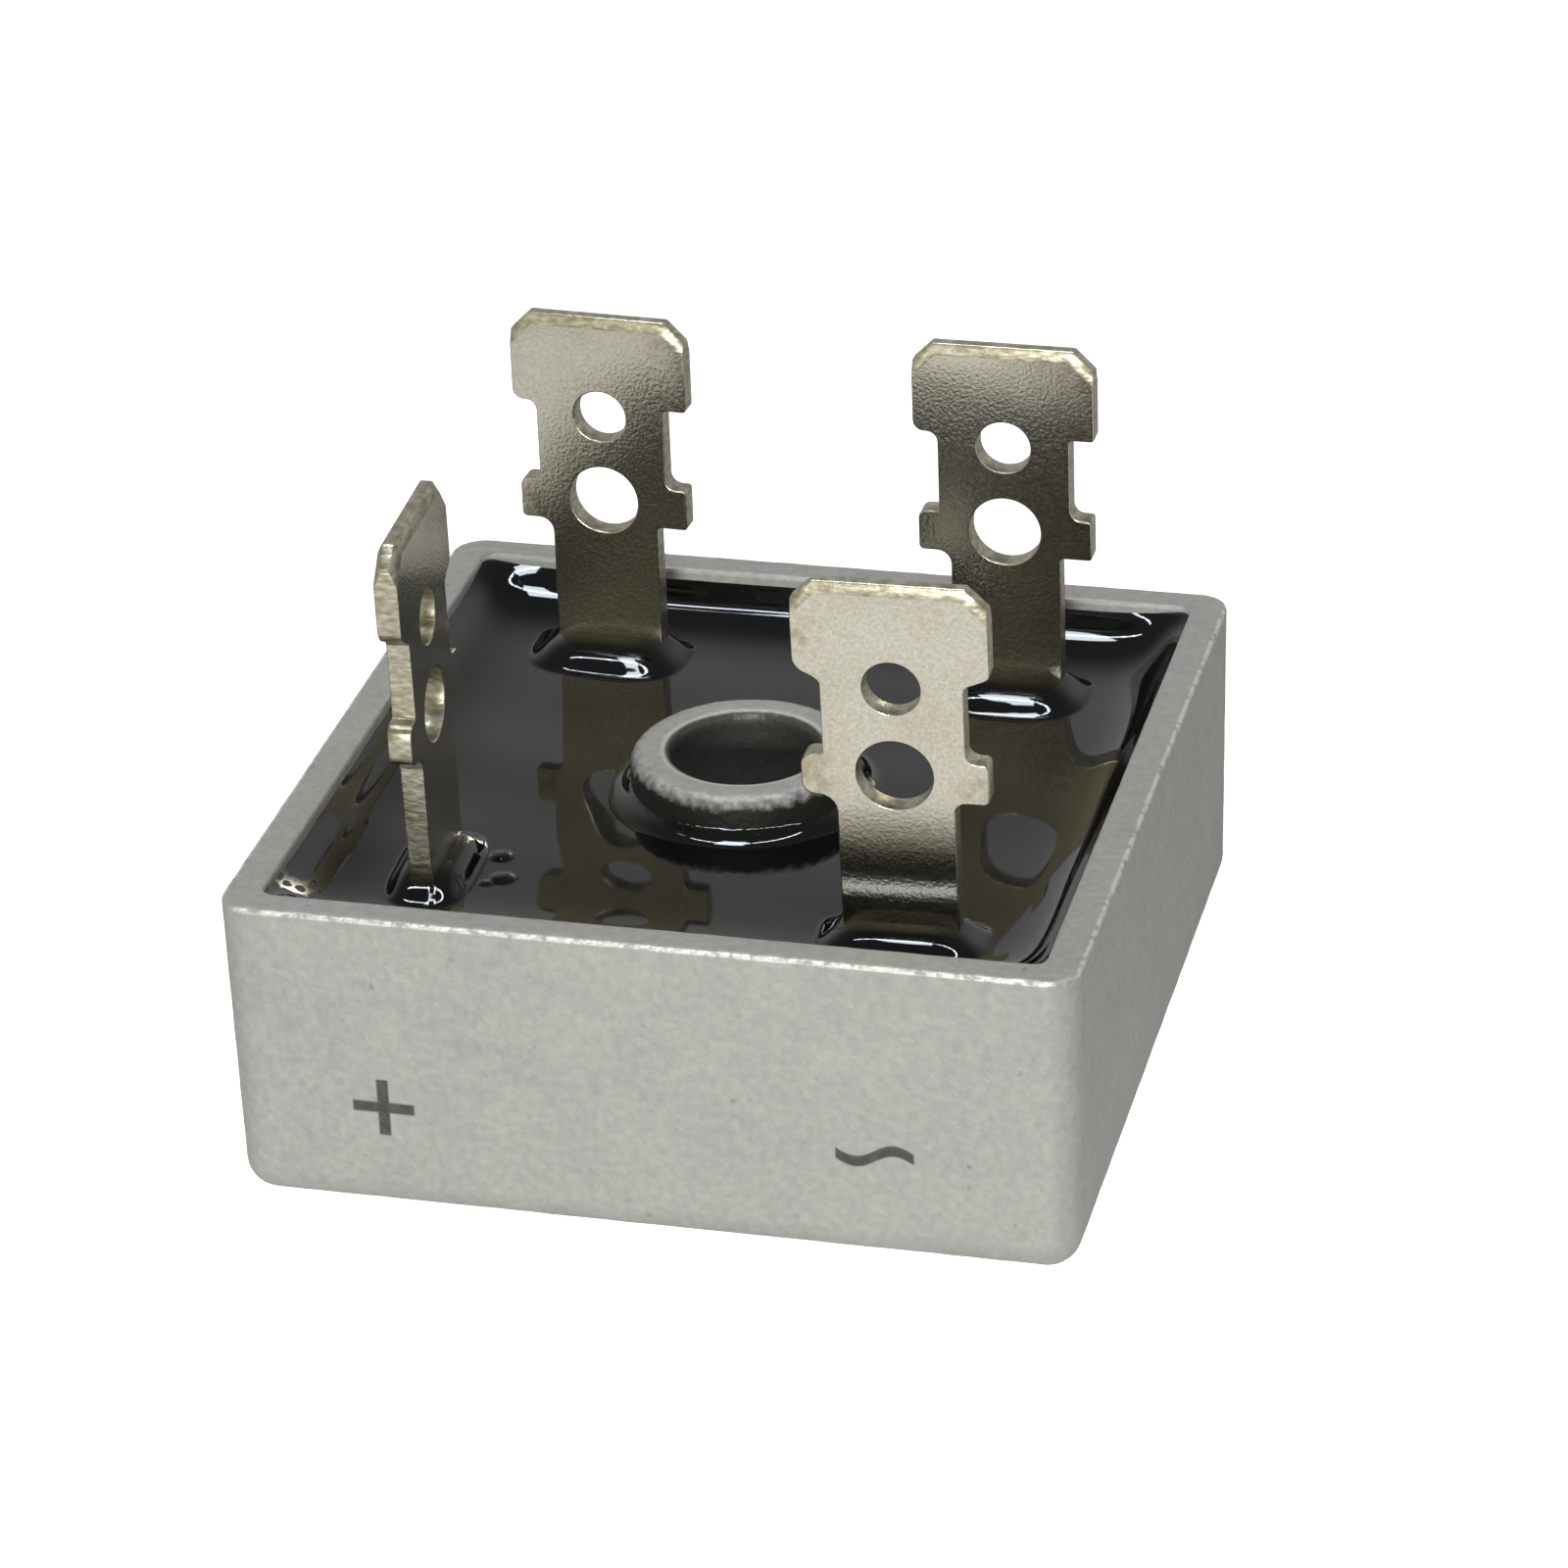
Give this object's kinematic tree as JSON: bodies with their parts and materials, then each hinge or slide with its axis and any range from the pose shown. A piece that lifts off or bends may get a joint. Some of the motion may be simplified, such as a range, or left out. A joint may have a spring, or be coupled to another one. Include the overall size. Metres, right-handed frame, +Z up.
{
  "type": "bridge rectifier",
  "caption": "Square metal-cased bridge rectifier potted in black resin, with a central screw boss and upright push-on blade terminals.",
  "frame": {"origin": "centre of the flat underside, on the screw bore's axis", "axes": "+Z up out of the bore, the way the blades point; +X to the right and -Y out of the front face, with the turned positive blade at -X, -Y"},
  "size_m": [0.0284, 0.0284, 0.0226],
  "materials": {
    "cast_aluminium": "as cast and blasted, matte",
    "potting_epoxy": "glossy black cast resin",
    "nickel_plated_brass": "satin nickel plate on stamped brass strip",
    "alumina": "matte white",
    "copper": null,
    "silicon": null,
    "solder": null
  },
  "bodies": {
    "root": {"case": "cast_aluminium", "potting_resin": "potting_epoxy", "insulating_sheet": "alumina", "positive_plate": "copper", "negative_plate": "copper", "ac_jumper_left": "copper", "ac_jumper_right": "copper", "terminal_positive": "nickel_plated_brass", "foot_solder_positive": "solder", "terminal_negative": "nickel_plated_brass", "foot_solder_negative": "solder", "terminal_ac_left": "nickel_plated_brass", "foot_solder_ac_left": "solder", "terminal_ac_right": "nickel_plated_brass", "foot_solder_ac_right": "solder", "diode_chip_left": "silicon", "chip_solder_lower_left": "solder", "chip_solder_upper_left": "solder", "diode_chip_front": "silicon", "chip_solder_lower_front": "solder", "chip_solder_upper_front": "solder", "diode_chip_right": "silicon", "chip_solder_lower_right": "solder", "chip_solder_upper_right": "solder", "diode_chip_back": "silicon", "chip_solder_lower_back": "solder", "chip_solder_upper_back": "solder"}
  },
  "joints": []
}
